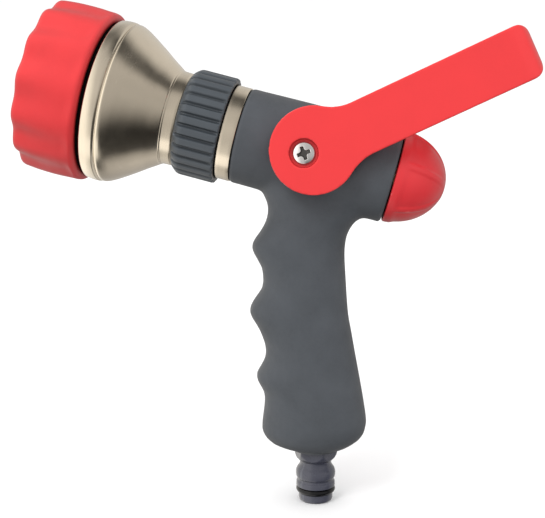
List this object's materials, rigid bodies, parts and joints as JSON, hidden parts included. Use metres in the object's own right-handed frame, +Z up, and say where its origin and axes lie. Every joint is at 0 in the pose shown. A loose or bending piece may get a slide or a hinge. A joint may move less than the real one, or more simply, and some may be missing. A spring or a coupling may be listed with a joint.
{
  "type": "garden hose spray gun",
  "caption": "Pistol-grip hose nozzle with a lever bail ball valve, a twist head behind a rubber bumper, a rear flow knob and a snap-in hose connector.",
  "frame": {"origin": "centre of the tip of the hose connector's nose", "axes": "+Z up along the connector's axis and the grip; the barrel sprays towards -X and leans up 15 degrees; +Y along the lever's pivot, so the part is symmetric about the XZ plane"},
  "size_m": [0.2108, 0.0724, 0.2132],
  "materials": {
    "soft_grey_grip": "matte, fine-grained soft overmould",
    "hard_grey_plastic": "matte moulded plastic",
    "ribbed_grey": "satin moulded plastic",
    "slate_plastic": "semi-gloss moulded plastic",
    "black_rubber": "wet-looking black rubber",
    "white_plastic": "natural acetal",
    "brass": "turned brass",
    "warm_nickel": "circumferentially brushed warm nickel",
    "steel": "turned stainless steel",
    "screw_steel": "bright plated steel",
    "red_rubber": "satin soft plastic",
    "red_plastic": "satin moulded plastic",
    "red_knob": "satin moulded plastic"
  },
  "bodies": {
    "gun_body": {"body_core": "hard_grey_plastic", "grip_overmould": "soft_grey_grip", "quick_connector": "slate_plastic", "connector_oring": "black_rubber", "connector_washer": "black_rubber", "inlet_strainer": "white_plastic", "barrel_tube": "brass", "barrel_sleeve": "warm_nickel", "sleeve_nut": "steel", "seat_ring": "white_plastic", "spray_pin": "brass", "rear_gland": "slate_plastic", "gland_oring": "black_rubber"},
    "head_slider": {"head_seal": "black_rubber"},
    "twist_head": {"bumper_ring": "red_rubber", "bell": "warm_nickel", "front_cone": "hard_grey_plastic", "grip_collar": "ribbed_grey", "head_nut": "white_plastic"},
    "bail": {"bail_lever": "red_plastic", "valve_ball": "steel", "spindle_left": "steel", "spindle_right": "steel", "spindle_oring_left": "black_rubber", "spindle_oring_right": "black_rubber", "pivot_washer_left": "white_plastic", "pivot_washer_right": "white_plastic", "bail_screw_left": "screw_steel", "bail_screw_right": "screw_steel"},
    "flow_knob": {"rear_knob": "red_knob", "knob_stem": "brass", "stem_oring": "black_rubber", "flow_sleeve": "white_plastic", "stem_clip": "steel"}
  },
  "joints": [
    {"name": "bail_pivot", "type": "hinge", "parent": "gun_body", "child": "bail", "pos_m": [-0.00338, 0, 0.15021], "axis": [0, -1, 0], "range_deg": [0, 90]},
    {"name": "head_travel", "type": "slide", "parent": "gun_body", "child": "head_slider", "axis": [-0.9659, 0, 0.2588], "range_m": [0, 0.0055]},
    {"name": "head_twist", "type": "hinge", "parent": "head_slider", "child": "twist_head", "pos_m": [-0.09659, 0, 0.17518], "axis": [-0.9659, 0, 0.2588], "range_deg": [0, 240]},
    {"name": "knob_turn", "type": "hinge", "parent": "gun_body", "child": "flow_knob", "pos_m": [0.04347, 0, 0.13765], "axis": [0.9659, 0, -0.2588], "range_deg": [0, 90]}
  ],
  "couplings": [
    {"joint": "head_travel", "follows": "head_twist", "m_per_rad": 0.0012732}
  ]
}
